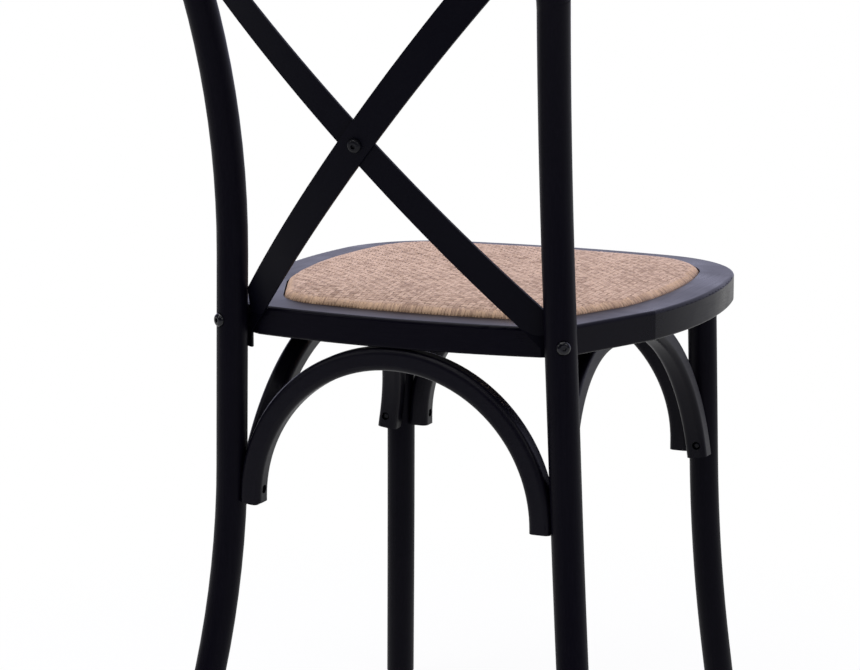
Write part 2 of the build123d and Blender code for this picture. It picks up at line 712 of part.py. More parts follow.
with BuildPart() as barrels:
    with Locations(*[(x, barrel_centre.Y, frame_bottom) for x in (-barrel_centre.X, barrel_centre.X)]):
        Cylinder(barrel_d / 2, barrel_length, align=from_head)
    drill([p.offset(-rod_d) for p in post_bolt_planes], bolt_d + 2 * bore_gap, post_bolt_length)
save(barrels.part, "barrel_nuts")

# Glides
with BuildPart() as glide:
    Cylinder(glide_d / 2, glide_h, align=from_head)
    fillet(glide.edges().group_by(Axis.Z)[0], glide_edge_r)
    with Locations((0, 0, glide_h)):
        Cylinder(glide_pin_d / 2, glide_pin_length, align=from_head)
with BuildPart() as glides:
    with Locations(*[(p.origin.X, p.origin.Y, 0) for p in rear_pin_planes + front_pin_planes]):
        add(glide.part)
save(glides.part, "foot_glides")
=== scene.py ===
# %% [markdown]
# # A cross-back dining chair
# The chair has a bent hoop back, crossed metal bars, round legs, four arched braces and a woven seat pad.
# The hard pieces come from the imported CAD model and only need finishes. The pad is soft, so it is made
# here: a body from a copy of the CAD foam, and a weave that is laid on it.

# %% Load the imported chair
import json
import math

import bmesh
import bpy
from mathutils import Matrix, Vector
from mathutils.bvhtree import BVHTree
from mathutils.kdtree import KDTree

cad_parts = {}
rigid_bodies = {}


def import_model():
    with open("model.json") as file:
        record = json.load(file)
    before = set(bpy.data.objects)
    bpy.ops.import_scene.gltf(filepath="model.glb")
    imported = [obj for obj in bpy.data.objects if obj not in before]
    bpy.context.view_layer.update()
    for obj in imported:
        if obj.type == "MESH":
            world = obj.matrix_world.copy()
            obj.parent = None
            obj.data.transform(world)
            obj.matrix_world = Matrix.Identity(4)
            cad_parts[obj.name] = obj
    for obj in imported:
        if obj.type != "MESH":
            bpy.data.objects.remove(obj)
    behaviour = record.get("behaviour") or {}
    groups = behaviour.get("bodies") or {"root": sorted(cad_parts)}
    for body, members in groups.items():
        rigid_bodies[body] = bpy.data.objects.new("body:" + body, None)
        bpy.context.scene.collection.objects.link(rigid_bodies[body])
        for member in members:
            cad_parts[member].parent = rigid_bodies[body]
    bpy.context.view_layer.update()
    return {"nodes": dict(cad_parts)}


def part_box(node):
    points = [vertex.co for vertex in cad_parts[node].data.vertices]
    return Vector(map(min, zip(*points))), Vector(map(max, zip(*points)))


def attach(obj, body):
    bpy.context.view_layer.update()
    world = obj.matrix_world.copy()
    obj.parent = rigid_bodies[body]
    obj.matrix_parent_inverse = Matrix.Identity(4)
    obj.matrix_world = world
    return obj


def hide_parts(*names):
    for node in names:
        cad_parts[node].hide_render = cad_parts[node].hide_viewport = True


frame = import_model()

nodes = frame["nodes"]
scene = bpy.context.scene
scene.view_settings.view_transform = "Standard"
print("pieces loaded:", len(nodes))

# %% [markdown]
# ## Camera
# The photo was taken from behind the chair, a little to its right and just above the seat, with a long
# lens. A long lens far away keeps the posts almost parallel. The lens shift stands for the way the photo
# was cropped.

# %% Camera
photo_width_px = 860
focal_px = 2760.0
sensor_mm = 36.0
aim_pixel = (442.3, 297.4)
frame_centre_pixel = (430.0, 335.0)
aim_point = Vector((0.0, 0.038, 0.470))
camera_place = Vector((-0.978, 2.305, 0.914))

camera_data = bpy.data.cameras.new("photo_camera")
camera_data.sensor_width = sensor_mm
camera_data.lens = focal_px * sensor_mm / photo_width_px
camera_data.shift_x = (frame_centre_pixel[0] - aim_pixel[0]) / photo_width_px
camera_data.shift_y = (aim_pixel[1] - frame_centre_pixel[1]) / photo_width_px
camera_data.clip_end = 50.0
camera = bpy.data.objects.new("photo_camera", camera_data)
camera.location = camera_place
camera.rotation_euler = (aim_point - camera_place).to_track_quat("-Z", "Y").to_euler()
scene.collection.objects.link(camera)
scene.camera = camera
print("lens:", round(camera_data.lens, 1), "mm")

# %% [markdown]
# ## Node helpers
# Materials and Geometry Nodes trees are both built from nodes, and building nodes in code is wordy. These
# helpers keep the later cells short. The first ones add a node, do one sum and blend two colours.


# %% Node helpers
def pick(sockets, name):
    """Finds a shown socket by its name, written with _ for spaces, or by in0, in1 for its place."""
    if name.startswith("in") and name[2:].isdigit():
        return sockets[int(name[2:])]
    wanted = name.replace("_", " ").lower()
    return next(s for s in sockets if s.name.lower() == wanted and s.enabled)


def put(tree, kind, settings=None, **inputs):
    """Adds a node, sets its own settings, then its input values or the sockets that feed them."""
    node = tree.nodes.new(kind)
    for name, value in (settings or {}).items():
        setattr(node, name, value)
    for name, value in inputs.items():
        socket = pick(node.inputs, name)
        if isinstance(value, bpy.types.NodeSocket):
            tree.links.new(value, socket)
        else:
            socket.default_value = value
    return node


def math_node(tree, operation, first, second=0.0):
    """One sum of two numbers or sockets."""
    return put(tree, "ShaderNodeMath", {"operation": operation}, in0=first, in1=second).outputs[0]


def mix_colour(tree, share, first, second):
    """Blends two colours or colour sockets."""
    return put(tree, "ShaderNodeMix", {"data_type": "RGBA"}, in0=share, in6=first, in7=second).outputs[2]


def new_group(name, kind, inputs, outputs):
    """A node group with named sockets. Each input is (name, socket type, default)."""
    tree = bpy.data.node_groups.new(name, kind)
    for socket_name, socket_type, default in inputs:
        socket = tree.interface.new_socket(socket_name, in_out="INPUT", socket_type=socket_type)
        if default is not None:
            socket.default_value = default
    for socket_name, socket_type in outputs:
        tree.interface.new_socket(socket_name, in_out="OUTPUT", socket_type=socket_type)
    return tree, tree.nodes.new("NodeGroupInput").outputs, tree.nodes.new("NodeGroupOutput").inputs


print("node helpers: pick, put, math_node, mix_colour, new_group")

# %% [markdown]
# ## Pattern helpers
# Every finish on the chair is made of the same few things: noise on the piece's own coordinates, drawn out
# along one axis for grain, cut to a range, and used as colour, as roughness or as the height of a bump.


# %% Pattern helpers
def object_places(tree):
    """The piece's own coordinates in metres."""
    return put(tree, "ShaderNodeTexCoord").outputs["Object"]


def stretched(tree, place, scale):
    """Coordinates scaled along each axis, so that a pattern on them is drawn out."""
    return put(tree, "ShaderNodeMapping", Vector=place, Scale=scale).outputs[0]


def noise(tree, place, scale, detail, roughness=0.5, distortion=0.0):
    """Smooth noise with scale lumps to the metre."""
    shape = {"Scale": scale, "Detail": detail, "Roughness": roughness, "Distortion": distortion}
    return put(tree, "ShaderNodeTexNoise", Vector=place, **shape).outputs[0]


def ranged(tree, value, low, high, to_low=0.0, to_high=1.0):
    """Maps the range from low to high onto another one, and stops at its ends."""
    ends = {"From_Min": low, "From_Max": high, "To_Min": to_low, "To_Max": to_high}
    return put(tree, "ShaderNodeMapRange", Value=value, **ends).outputs[0]


def new_material(name):
    """A material with only a Principled BSDF and its output."""
    material = bpy.data.materials.new(name)
    material.use_nodes = True
    tree = material.node_tree
    tree.nodes.clear()
    shader = tree.nodes.new("ShaderNodeBsdfPrincipled")
    output = tree.nodes.new("ShaderNodeOutputMaterial")
    tree.links.new(shader.outputs[0], output.inputs[0])
    return material, tree, shader


def place_group(tree, group, **inputs):
    """Places a shader group in a material."""
    return put(tree, "ShaderNodeGroup", {"node_tree": group}, **inputs).outputs


def add_bump(tree, shader, height, strength, distance):
    """Feeds a height to the shader's normal as a shallow bump."""
    bump = put(tree, "ShaderNodeBump", Strength=strength, Distance=distance, Height=height)
    tree.links.new(bump.outputs[0], shader.inputs["Normal"])


print("pattern helpers: object_places, stretched, noise, ranged, new_material, place_group, add_bump")

# %% [markdown]
# ## Black paint
# Every hard piece is painted black: the bent wood with a satin lacquer that lets a little grain through,
# and the bars with a smoother coat. A flat black would look like a cut-out, so one shader group makes a
# sprayed coat, and each finish places it with its own values. Stretched noise gives the grain its
# direction, fine noise gives the orange peel of sprayed paint, and slow noise makes the gloss uneven.

# %% Paint group
peel_scale = 420.0  # bumps of orange peel to the metre
peel_height = 0.35  # share of the peel in the height, beside the grain's own depth
cloud_scale = 14.0  # duller and glossier patches to the metre
cloud_gloss = -0.05  # roughness that the patches take off or add
cloud_dull = 0.07
streak_dull = 0.12  # roughness that a grain line adds
paint_bump = 0.35


def paint_group():
    """Colour, roughness and height of sprayed paint over grain."""
    tree, given, result = new_group(
        "sprayed_paint",
        "ShaderNodeTree",
        [
            ("Colour", "NodeSocketColor", (0.005, 0.005, 0.006, 1)),
            ("Worn Colour", "NodeSocketColor", (0.02, 0.02, 0.022, 1)),
            ("Grain Scale", "NodeSocketVector", (900.0, 900.0, 25.0)),
            ("Grain Depth", "NodeSocketFloat", 0.5),
            ("Gloss Roughness", "NodeSocketFloat", 0.34),
        ],
        [("Colour", "NodeSocketColor"), ("Roughness", "NodeSocketFloat"), ("Height", "NodeSocketFloat")],
    )
    place = object_places(tree)
    drawn_out = stretched(tree, place, given["Grain Scale"])
    grain = noise(tree, drawn_out, scale=1.0, detail=4.0, roughness=0.6)
    peel = noise(tree, place, scale=peel_scale, detail=2.0)
    cloud = noise(tree, place, scale=cloud_scale, detail=3.0, roughness=0.55)
    streak = math_node(tree, "MULTIPLY", ranged(tree, grain, 0.42, 0.75), given["Grain Depth"])
    colour = mix_colour(tree, streak, given["Colour"], given["Worn Colour"])
    dull = ranged(tree, cloud, 0.3, 0.7, cloud_gloss, cloud_dull)
    rough = math_node(tree, "ADD", given["Gloss Roughness"], dull)
    rough = math_node(tree, "ADD", rough, math_node(tree, "MULTIPLY", streak, streak_dull))
    height = math_node(tree, "MULTIPLY", grain, given["Grain Depth"])
    height = math_node(tree, "ADD", height, math_node(tree, "MULTIPLY", peel, peel_height))
    tree.links.new(colour, result["Colour"])
    tree.links.new(rough, result["Roughness"])
    tree.links.new(height, result["Height"])
    return tree


sprayed_paint = paint_group()


def painted(name, colour, worn, grain_scale, grain_depth, roughness, bump_mm, specular=0.07):
    """A painted finish: the group's colour and roughness, and its height as a shallow bump."""
    material, tree, shader = new_material(name)
    coat = place_group(
        tree,
        sprayed_paint,
        Colour=colour,
        Worn_Colour=worn,
        Grain_Scale=grain_scale,
        Grain_Depth=grain_depth,
        Gloss_Roughness=roughness,
    )
    tree.links.new(coat["Colour"], shader.inputs["Base Color"])
    tree.links.new(coat["Roughness"], shader.inputs["Roughness"])
    add_bump(tree, shader, coat["Height"], paint_bump, bump_mm / 1000)
    shader.inputs["Specular IOR Level"].default_value = specular
    return material


print("paint group:", len(sprayed_paint.nodes), "nodes")

# %% [markdown]
# ## Painted finishes
# The grain of bent wood follows the bend, but most of each piece runs one way, so three directions are
# enough: up for the rods, sideways and endways for rails and arches. The rails and arches are glossier than
# the rods, and the dome bolts are the glossiest. The specular level is low, to keep the black deep.

# %% Painted finishes
lacquer_black = (0.0014, 0.0010, 0.0040, 1)
lacquer_thin = (0.0040, 0.0034, 0.0070, 1)
grain_across = 700.0  # grain lines to the metre
grain_along = 14.0
grain_by_run = {
    "upright": (grain_across, grain_across, grain_along),
    "sideways": (grain_along, grain_across, grain_across),
    "endways": (grain_across, grain_along, grain_across),
}
rail_gloss = {"roughness": 0.3, "specular": 0.07}
arch_gloss = {"roughness": 0.36, "specular": 0.12}
steel_black = (0.003, 0.003, 0.005, 1)
steel_worn = (0.008, 0.008, 0.01, 1)
steel_speckle = (400, 400, 400)


def black_wood(part, run, roughness, specular=0.06):
    """Satin black wood whose grain runs one way."""
    return painted(
        f"black_{part}_{run}",
        lacquer_black,
        lacquer_thin,
        grain_by_run[run],
        grain_depth=0.6,
        roughness=roughness,
        bump_mm=0.2,
        specular=specular,
    )


bar_black = painted(
    "black_bar_paint",
    colour=(0.0008, 0.0006, 0.0036, 1),
    worn=(0.003, 0.003, 0.006, 1),
    grain_scale=(300, 300, 300),
    grain_depth=0.3,
    roughness=0.46,
    bump_mm=0.12,
    specular=0.06,
)
bolt_black = painted(
    "black_bolt",
    steel_black,
    steel_worn,
    steel_speckle,
    grain_depth=0.4,
    roughness=0.3,
    bump_mm=0.08,
    specular=0.15,
)
dome_black = painted(
    "black_dome_bolt",
    steel_black,
    steel_worn,
    steel_speckle,
    grain_depth=0.2,
    roughness=0.14,
    bump_mm=0.04,
    specular=0.3,
)
glide_black = painted(
    "glide_plastic",
    colour=(0.01, 0.01, 0.01, 1),
    worn=(0.03, 0.03, 0.03, 1),
    grain_scale=(250, 250, 250),
    grain_depth=0.5,
    roughness=0.55,
    bump_mm=0.2,
)


def dress(material, *names):
    """Gives a material to CAD nodes."""
    for name in names:
        nodes[name].data.materials.clear()
        nodes[name].data.materials.append(material)


dress(black_wood("rod", "upright", roughness=0.42), "back_hoop", "front_leg_left", "front_leg_right")
dress(black_wood("rail", "sideways", **rail_gloss), "seat_front_rail", "seat_rear_rail")
dress(black_wood("rail", "endways", **rail_gloss), "seat_side_rail_left", "seat_side_rail_right")
dress(black_wood("arch", "sideways", **arch_gloss), "arch_rear", "arch_front")
dress(black_wood("arch", "endways", **arch_gloss), "arch_left", "arch_right")
dress(bar_black, "cross_bar_front", "cross_bar_rear")
dress(dome_black, "post_bolts")
dress(bolt_black, "cross_bolt", "cross_cap_nut", "bar_top_screws", "barrel_nuts")
dress(bolt_black, "arch_end_screws", "arch_top_screws", "board_screws")
dress(glide_black, "foot_glides")
print("painted:", len(bpy.data.materials))

# %% [markdown]
# ## Bare wood
# Under the seat the plywood board shows between the rails. Wood is long stretched noise: broad bands for
# the growth rings, and fine dark lines for the pores. A photo of wood would do as well, but nodes need no
# file and never repeat.

# %% Bare wood
band_stretch = (4.0, 60.0, 60.0)  # bands and pores to the metre, along the board and across it
pore_stretch = (30.0, 900.0, 900.0)
wood_pale = (0.56, 0.40, 0.24, 1)
wood_dark = (0.44, 0.29, 0.16, 1)
pore_dark = (0.25, 0.15, 0.08, 1)
pore_depth = 0.0003


def bare_wood(name):
    """Wood without a finish."""
    material, tree, shader = new_material(name)
    place = object_places(tree)
    band = noise(tree, stretched(tree, place, band_stretch), scale=1.0, detail=5.0, distortion=0.6)
    pore = noise(tree, stretched(tree, place, pore_stretch), scale=1.0, detail=2.0)
    band = ranged(tree, band, 0.35, 0.65)
    pore = ranged(tree, pore, 0.55, 0.75)
    colour = mix_colour(tree, band, wood_pale, wood_dark)
    colour = mix_colour(tree, pore, colour, pore_dark)
    tree.links.new(colour, shader.inputs["Base Color"])
    add_bump(tree, shader, pore, 0.3, pore_depth)
    shader.inputs["Roughness"].default_value = 0.65
    return material


dress(bare_wood("bare_plywood"), "seat_board", "rail_dowels")
print("bare wood: seat_board, rail_dowels")

# %% [markdown]
# ## The seat pad's body
# The pad is foam under a woven cover. It could be drawn by hand, but a stuffed thing gets its shape from
# what fills it. So a copy of the CAD foam is remeshed evenly, moved out to lie just inside the weave, and
# raised towards its rear edge, where the real pad is plumper.

# %% Even copy of the foam
merge_reach = 1e-6
voxel = 0.005
side_push = 0.0028
rear_lift = 0.0020
frame_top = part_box("seat_rear_rail")[1].z


def merged_copy(node_name, name):
    """A copy of a CAD node with its loose triangles joined."""
    mesh = nodes[node_name].data.copy()
    work = bmesh.new()
    work.from_mesh(mesh)
    bmesh.ops.remove_doubles(work, verts=work.verts, dist=merge_reach)
    work.to_mesh(mesh)
    work.free()
    mesh.materials.clear()
    copy = bpy.data.objects.new(name, mesh)
    scene.collection.objects.link(copy)
    return copy


def settle(obj):
    """Works the object's modifiers into its mesh."""
    depsgraph = bpy.context.evaluated_depsgraph_get()
    worked = obj.evaluated_get(depsgraph)
    mesh = bpy.data.meshes.new_from_object(worked, preserve_all_data_layers=True, depsgraph=depsgraph)
    obj.modifiers.clear()
    obj.data = mesh


pad = merged_copy("seat_foam", "woven_pad_body")
remesh = pad.modifiers.new("even_mesh", "REMESH")
remesh.mode = "VOXEL"
remesh.voxel_size = voxel
settle(pad)
front_y = min(v.co.y for v in pad.data.vertices)
rear_y = max(v.co.y for v in pad.data.vertices)
for vertex in pad.data.vertices:
    vertex.co += Vector((vertex.normal.x, vertex.normal.y, 0.0)) * side_push
    if vertex.co.z > frame_top:
        vertex.co.z += rear_lift * (vertex.co.y - front_y) / (rear_y - front_y)
rest = [v.co.copy() for v in pad.data.vertices]
print("foam copy:", len(rest), "points")

# %% [markdown]
# ## Swelling
# Blender's cloth with pressure inside blows the pad up, so that its top bulges as stuffed things do. The
# part down in the recess is held, and no point may move far, because the real pad is tight and nearly
# flat. Smoothing and one subdivision then take away the marks of the remesh.

# %% Swell
swell_frames = 14
swell_pressure = 3.0
swell_limit = 0.0008
held_below = frame_top - 0.002
smooth_factor = 0.5
smooth_rounds = 3


def swell(obj):
    """Blows the pad up a little, holding what lies in the recess."""
    held = obj.vertex_groups.new(name="held")
    held.add([i for i, p in enumerate(rest) if p.z < held_below], 1.0, "REPLACE")
    cloth = obj.modifiers.new("swell", "CLOTH")
    cloth.settings.vertex_group_mass = "held"
    cloth.settings.use_pressure = True
    cloth.settings.uniform_pressure_force = swell_pressure
    cloth.settings.effector_weights.gravity = 0.0
    cloth.point_cache.frame_start = 1
    cloth.point_cache.frame_end = swell_frames
    for step in range(1, swell_frames + 1):
        scene.frame_set(step)
    settle(obj)
    scene.frame_set(1)
    for vertex, start in zip(obj.data.vertices, rest):
        move = vertex.co - start
        if move.length > swell_limit:
            vertex.co = start + move.normalized() * swell_limit


swell(pad)
smooth = pad.modifiers.new("smooth", "SMOOTH")
smooth.factor = smooth_factor
smooth.iterations = smooth_rounds
rounder = pad.modifiers.new("rounder", "SUBSURF")
rounder.levels = 1
rounder.render_levels = 1
settle(pad)
print("swollen pad:", len(pad.data.vertices), "points")

# %% [markdown]
# ## The pad in its recess
# Smoothing draws the pad in, most of all at its corners, and would leave a dark gap inside the frame. The
# CAD cover shows where the pad has to end. Level rays from outside find the side of the cover and the side
# of the pad, and each point of the side moves out by what lies between them.

# %% Sides out to the frame
peel_room = 0.0005  # left for the weave
compare_z = frame_top - 0.001  # height at which the two sides are compared
ray_start = 0.02
ray_reach = 0.04
least_slope = 0.1  # a point that faces less sideways than this stays where it is


def faces_of(mesh):
    """A tree of the mesh's faces, for casting rays at it."""
    return BVHTree.FromPolygons([v.co for v in mesh.vertices], [p.vertices for p in mesh.polygons])


def fill_recess(obj):
    """Moves the pad's sides out evenly to where the CAD cover ends, less the height of the peel."""
    wall = faces_of(nodes["woven_cover"].data)
    side = faces_of(obj.data)
    for vertex in obj.data.vertices:
        level = Vector((vertex.normal.x, vertex.normal.y, 0.0))
        share = level.length
        if share < least_slope:
            continue
        way = level / share
        start = Vector((vertex.co.x, vertex.co.y, compare_z)) + way * ray_start
        outer = wall.ray_cast(start, -way, ray_reach)[0]
        inner = side.ray_cast(start, -way, ray_reach)[0]
        if outer and inner:
            vertex.co += way * ((outer - inner).dot(way) - peel_room) * share


fill_recess(pad)
pad.data.shade_smooth()
pad_top = max(v.co.z for v in pad.data.vertices)
print("pad body:", len(pad.data.vertices), "points, top at", round(pad_top * 1000, 1), "mm")

# %% [markdown]
# ## The rim
# The weave on the top and the strands over the edge both have to know where the pad's edge is. A level cut
# through the pad gives that line. It is made dense, and the way out at each of its points comes from its
# neighbours on both sides, so that the corners of the cut do not show.

# %% Rim line
rim_level = frame_top + 0.001
rim_steps = 6  # points on each stretch of the cut
tangent_reach = 9  # neighbours that give the way out, counted along the rim
up = Vector((0, 0, 1))


def level_cut(obj, z):
    """Points in order along the closed line where a level plane cuts the object, and their middle."""
    work = bmesh.new()
    work.from_mesh(obj.data)
    everything = work.verts[:] + work.edges[:] + work.faces[:]
    bmesh.ops.bisect_plane(
        work, geom=everything, plane_co=(0, 0, z), plane_no=(0, 0, 1), clear_inner=True, clear_outer=True
    )
    places = [v.co.copy() for v in work.verts]
    work.free()
    middle = sum(places, Vector()) / len(places)
    places.sort(key=lambda p: math.atan2(p.y - middle.y, p.x - middle.x))
    return places, middle


def dense(places, steps):
    """The closed line with more points along each stretch."""
    pairs = zip(places, places[1:] + places[:1])
    return [a.lerp(b, i / steps) for a, b in pairs for i in range(steps)]


def way_out(i):
    """The level way out of the pad at a point of the rim."""
    ahead = rim[(i + tangent_reach) % len(rim)]
    behind = rim[i - tangent_reach]
    return (ahead - behind).cross(up).normalized()


rim_places, rim_middle = level_cut(pad, rim_level)
rim = dense(rim_places, rim_steps)
rim_out = [way_out(i) for i in range(len(rim))]
rim_finder = KDTree(len(rim))
for i, place in enumerate(rim):
    rim_finder.insert(place, i)
rim_finder.balance()
print("rim points:", len(rim_places), "made", len(rim))

# %% [markdown]
# ## The weave
# The cover is bundles of rattan peel, woven over one and under one. Each crossing shows one short hump of
# peel, turned one way or the other like a chequerboard. Strands woven from end to end would be many, and
# hidden for half their length, so only the humps are made. Their points lie on the pad in a square grid
# and stop a little way onto its rounded edge.

# %% Points of the weave
weave_pitch = 0.0056
strip_length = 0.0092
edge_r = 0.006
top_reach = 0.003  # how far the top's weave goes onto the rounded edge
# the edge's colour is partly the strands' own paler sides and partly painted sheen
top_sheen_tint = 0.5  # share of the edge's colour, if it went on to the end of the rounding
half_rows = 40
sky = 1.0  # height from which points are dropped onto the pad
unstretched = (1.0, 1.0, 1.0)
pad_faces = faces_of(pad.data)


def land(x, y):
    """Where a point falls on the pad from above, and the way the pad faces there."""
    place, facing, _, _ = pad_faces.ray_cast(Vector((x, y, sky)), -up)
    return (place, facing) if place else None


def top_points():
    """The chequerboard: each point's place, facing, the way its strip runs, edge share and stretch."""
    found = []
    for i in range(-half_rows, half_rows + 1):
        for j in range(-half_rows, half_rows + 1):
            flat = rim_middle + Vector((i * weave_pitch, j * weave_pitch, 0.0))
            near, k, _ = rim_finder.find(flat)
            past = (flat - near).dot(rim_out[k]) + edge_r
            spot = land(flat.x, flat.y)
            if past < top_reach and spot:
                along = Vector((1, 0, 0)) if (i + j) % 2 else Vector((0, 1, 0))
                found.append((*spot, along, max(past / edge_r, 0.0) * top_sheen_tint, unstretched))
    return found


top_spots = top_points()
print("crossings on the top:", len(top_spots))

# %% [markdown]
# ## The rolled edge
# At the rim the real strands turn down side by side and disappear between pad and frame. Bending the
# chequerboard round the edge would crowd its corners, so a row of longer, narrower strips follows the rim
# instead, each lying across the rounded edge.

# %% Points of the edge
strand_pitch = 0.0031
strand_width = 0.0032
strand_length = 0.020
# share of the edge colour on the edge strands: partly their own sides, partly painted sheen
strand_sheen_tint = 0.5
half_turn = math.sqrt(0.5)  # sine and cosine of the middle of the rounded edge


def edge_points():
    """One point for each strand, in the middle of the rounded edge, with the same five things."""
    found = []
    walked = 0.0
    stretch = (strand_length / strip_length, strand_width / weave_pitch, 1.0)
    for i, place in enumerate(rim):
        walked += (place - rim[i - 1]).length
        if walked < strand_pitch:
            continue
        walked -= strand_pitch
        inner = place - rim_out[i] * edge_r
        spot = land(inner.x, inner.y)
        facing = (rim_out[i] + up) * half_turn
        middle = spot[0] + facing * edge_r - up * edge_r
        found.append((middle, facing, (rim_out[i] - up) * half_turn, strand_sheen_tint, stretch))
    return found


def weave_points(spots):
    """A mesh of loose points that carries what each strip has to know."""
    mesh = bpy.data.meshes.new("weave_points")
    mesh.from_pydata([s[0] for s in spots], [], [])
    for name, place in (("facing", 1), ("along", 2), ("stretch", 4)):
        flat = [number for s in spots for number in s[place]]
        mesh.attributes.new(name, "FLOAT_VECTOR", "POINT").data.foreach_set("vector", flat)
    mesh.attributes.new("edge_share", "FLOAT", "POINT").data.foreach_set("value", [s[3] for s in spots])
    carrier = bpy.data.objects.new("weave_points", mesh)
    scene.collection.objects.link(carrier)
    return carrier


edge_spots = edge_points()
points = weave_points(top_spots + edge_spots)
print("strands round the edge:", len(edge_spots))

# %% [markdown]
# ## Rattan
# Peel has no two strands of one tone. Every bundle stores three numbers that the material reads: its own
# random tone, the place across the bundle, which draws the strands side by side with a tone each and paints
# shade into the grooves between them, and its share of the pad's edge, where the peel is painted yellower,
# partly for the strands' own sides and partly as painted sheen. Patches and flecks of noise go over all of
# them.

# %% Rattan group
fibre_scale = 800.0  # flecks and patches to the metre
patch_scale = 30.0
fleck_tone = 0.2  # how far each of these moves the tone, from pale at 0 to dark at 1
patch_tone = 0.15
strand_tone = 0.35
# painted shade: the colour darkens towards the groove between strands, where shade falls
groove_shade_tone = 0.5
groove_from = 0.35  # part of a strand's half width that its groove darkens
bundle_count = 500.0  # bundles told apart by their tone
strand_room = 5.0  # numbers kept for the strands of one bundle
fibre_height = 0.5


def rattan_group():
    """Colour and height of rattan peel."""
    tree, given, result = new_group(
        "rattan_peel",
        "ShaderNodeTree",
        [
            ("Pale", "NodeSocketColor", (0.66, 0.45, 0.33, 1)),
            ("Dark", "NodeSocketColor", (0.42, 0.26, 0.17, 1)),
            # Edge: yellower colour for the rolled edge, partly the strands' own sides and partly painted
            # sheen
            ("Edge", "NodeSocketColor", (0.62, 0.42, 0.22, 1)),
            ("Tone", "NodeSocketFloat", 0.5),
            ("Across", "NodeSocketFloat", 0.0),
            ("Edge Share", "NodeSocketFloat", 0.0),
            ("Strands", "NodeSocketFloat", 2.0),
        ],
        [("Colour", "NodeSocketColor"), ("Height", "NodeSocketFloat")],
    )
    place = object_places(tree)
    fibre = noise(tree, place, scale=fibre_scale, detail=3.0, roughness=0.7)
    patch = noise(tree, place, scale=patch_scale, detail=2.0)
    patch = ranged(tree, patch, 0.35, 0.65, -patch_tone, patch_tone)
    fleck = ranged(tree, fibre, 0.35, 0.7, -fleck_tone, fleck_tone)
    share = math_node(tree, "ADD", patch, fleck)
    share = math_node(tree, "ADD", share, given["Tone"])
    strands = math_node(tree, "MULTIPLY", given["Across"], given["Strands"])
    bundle = math_node(tree, "FLOOR", math_node(tree, "MULTIPLY", given["Tone"], bundle_count))
    first_number = math_node(tree, "MULTIPLY", bundle, strand_room)
    strand = math_node(tree, "ADD", first_number, math_node(tree, "FLOOR", strands))
    own = put(tree, "ShaderNodeTexWhiteNoise", {"noise_dimensions": "1D"}, W=strand).outputs["Value"]
    share = math_node(tree, "ADD", share, ranged(tree, own, 0.0, 1.0, -strand_tone, strand_tone))
    ridge = math_node(tree, "MULTIPLY", math_node(tree, "PINGPONG", strands, 0.5), 2.0)
    # painted shade in the grooves between strands
    groove = ranged(tree, ridge, groove_from, 0.0, 0.0, groove_shade_tone)
    share = put(tree, "ShaderNodeClamp", Value=math_node(tree, "ADD", share, groove)).outputs[0]
    colour = mix_colour(tree, share, given["Pale"], given["Dark"])
    # painted sheen with the strands' own side colour: the colour goes yellower by the edge share
    edge_sheen_tint = math_node(tree, "MULTIPLY", given["Edge Share"], math_node(tree, "SUBTRACT", 1.0, share))
    height = math_node(tree, "ADD", ridge, math_node(tree, "MULTIPLY", fibre, fibre_height))
    tree.links.new(mix_colour(tree, edge_sheen_tint, colour, given["Edge"]), result["Colour"])
    tree.links.new(height, result["Height"])
    return tree


rattan_peel = rattan_group()
print("rattan group:", len(rattan_peel.nodes), "nodes")

# %% Rattan finishes
strand_relief = 0.0003


def rattan(name, pale, dark, edge):
    """Rattan peel that reads the numbers stored on each bundle."""
    material, tree, shader = new_material(name)
    tone, across_bundle, edge_share = [
        put(tree, "ShaderNodeAttribute", {"attribute_name": mark}).outputs["Fac"]
        for mark in ("peel_tone", "peel_across", "edge_share")
    ]
    peel = place_group(
        tree,
        rattan_peel,
        Pale=pale,
        Dark=dark,
        Edge=edge,
        Tone=tone,
        Across=across_bundle,
        Edge_Share=edge_share,
    )
    tree.links.new(peel["Colour"], shader.inputs["Base Color"])
    add_bump(tree, shader, peel["Height"], 0.5, strand_relief)
    shader.inputs["Roughness"].default_value = 0.65
    shader.inputs["Specular IOR Level"].default_value = 0.25
    return material


rattan_top = rattan(
    "rattan_weave",
    pale=(0.54, 0.372, 0.275, 1),
    dark=(0.30, 0.19, 0.13, 1),
    # edge colour: partly the strands' own sides, partly painted sheen
    edge=(0.58, 0.37, 0.21, 1),
)
# painted shade: the body under the weave is a darker rattan for the shade in the gaps between strips
rattan_shade = rattan(
    "rattan_under",
    pale=(0.25, 0.16, 0.10, 1),
    dark=(0.18, 0.11, 0.07, 1),
    edge=(0.24, 0.15, 0.07, 1),
)
print("rattan finishes:", rattan_top.name, rattan_shade.name)

# %% [markdown]
# ## One strip
# A strip is a small flat grid that only remembers its form: each of its points stores how high it will lie
# over the pad, and its place across the strip. It is high in the middle and low at its ends, where it dips
# under its neighbours, and it falls a little to both sides.


# %% One strip
def stored(tree, geometry, name, value, domain="POINT"):
    """Stores a number on the geometry under a name."""
    settings = {"data_type": "FLOAT", "domain": domain}
    given = {"Geometry": geometry, "Name": name, "Value": value}
    return put(tree, "GeometryNodeStoreNamedAttribute", settings, **given).outputs[0]


def recalled(tree, name, kind="FLOAT"):
    """Reads a stored value."""
    return put(tree, "GeometryNodeInputNamedAttribute", {"data_type": kind}, Name=name).outputs[0]


